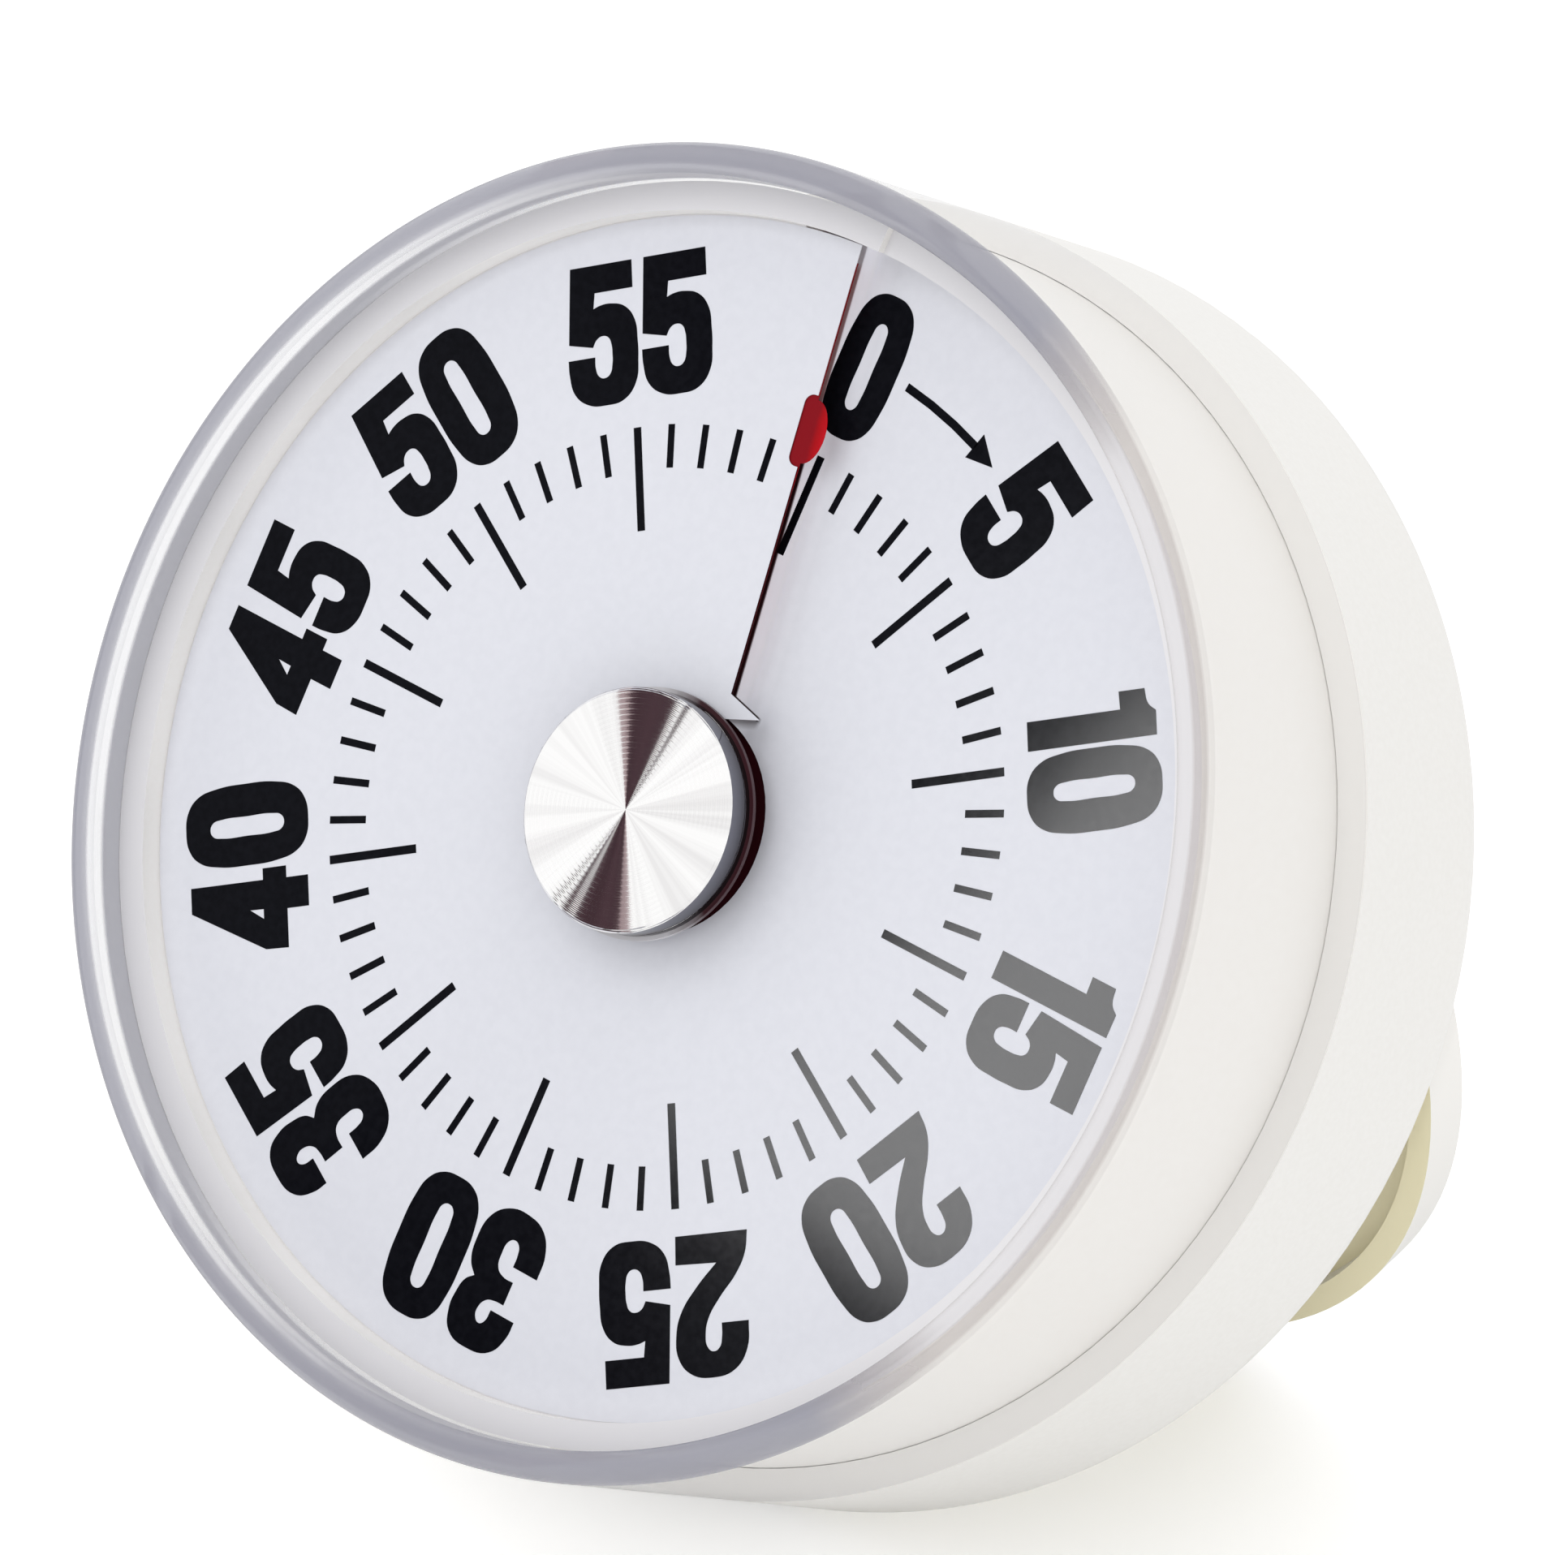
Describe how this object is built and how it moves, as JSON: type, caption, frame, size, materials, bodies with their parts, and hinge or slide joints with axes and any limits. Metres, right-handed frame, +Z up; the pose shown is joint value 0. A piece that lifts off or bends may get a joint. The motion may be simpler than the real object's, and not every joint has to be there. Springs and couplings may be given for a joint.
{
  "type": "visual countdown timer",
  "caption": "Round countdown timer with a clear rim, a slit dial that a red disc turns through, a metal knob, a clockwork movement and a folding stand.",
  "frame": {"origin": "middle of the bounding box, on the table, with the timer leaning back on its open stand", "axes": "+Z up, -Y towards the person who reads the dial, +X towards minute 15 on the dial"},
  "size_m": [0.08, 0.0682, 0.0847],
  "materials": {
    "white_shell": "fine satin",
    "clear_rim": "clear gloss",
    "dial_white": "printed film",
    "red_film": "gloss film",
    "red_plastic": "gloss",
    "knob_metal": "spun and polished",
    "collar": "gloss",
    "magnet": "nickel plated",
    "steel": "plain steel",
    "brass": "stamped sheet",
    "bell_metal": "pressed steel"
  },
  "bodies": {
    "case": {"clear_rim": "clear_rim", "front_body": "white_shell", "rear_case": "white_shell", "case_screws": "steel", "magnets": "magnet", "dial_sheet": "dial_white", "front_plate": "brass", "back_plate": "brass", "pillars": "brass", "pillar_screws": "steel", "movement_screws": "steel", "mainspring": "steel", "bell": "bell_metal", "bell_post": "brass", "bell_screw": "steel"},
    "dial_drive": {"red_disc": "red_film", "disc_hub": "red_plastic", "knob": "knob_metal", "knob_collar": "collar", "main_arbor": "steel", "great_wheel": "brass", "ratchet_wheel": "steel", "click": "steel", "strike_cam": "brass"},
    "second_arbor": {"second_pinion": "steel", "second_wheel": "brass"},
    "third_arbor": {"third_pinion": "steel", "third_wheel": "brass"},
    "escape_arbor": {"escape_pinion": "steel", "escape_wheel": "brass"},
    "balance": {"balance_wheel": "brass", "pallet": "steel"},
    "striker": {"hammer": "steel", "hammer_head": "steel"},
    "stand": {"stand_flap": "white_shell", "stand_pins": "steel"}
  },
  "joints": [
    {"name": "dial_turn", "type": "hinge", "parent": "case", "child": "dial_drive", "pos_m": [0, -0.01052, 0.04783], "axis": [0, 0.8708, -0.4916], "range_deg": [0, 330]},
    {"name": "second_spin", "type": "hinge", "parent": "case", "child": "second_arbor", "pos_m": [-0.01755, -0.01052, 0.04783], "axis": [0, 0.8708, -0.4916], "continuous": true},
    {"name": "third_spin", "type": "hinge", "parent": "case", "child": "third_arbor", "pos_m": [-0.01386, -0.01551, 0.039], "axis": [0, 0.8708, -0.4916], "continuous": true},
    {"name": "escape_spin", "type": "hinge", "parent": "case", "child": "escape_arbor", "pos_m": [-0.00792, -0.01843, 0.03382], "axis": [0, 0.8708, -0.4916], "continuous": true},
    {"name": "balance_swing", "type": "hinge", "parent": "case", "child": "balance", "pos_m": [-0.00125, -0.01931, 0.03227], "axis": [0, 0.8708, -0.4916], "range_deg": [-4, 4]},
    {"name": "hammer_strike", "type": "hinge", "parent": "case", "child": "striker", "pos_m": [0.0205, -0.00349, 0.06029], "axis": [0, -0.8708, 0.4916], "range_deg": [-1, 10], "stiffness_Nm_per_rad": 0.02},
    {"name": "stand_fold", "type": "hinge", "parent": "case", "child": "stand", "pos_m": [0, 0.01873, 0.0428], "axis": [-1, 0, 0], "range_deg": [0, 45]}
  ],
  "couplings": [
    {"joint": "second_spin", "follows": "dial_turn", "ratio": -5},
    {"joint": "third_spin", "follows": "dial_turn", "ratio": 25},
    {"joint": "escape_spin", "follows": "dial_turn", "ratio": -125}
  ]
}
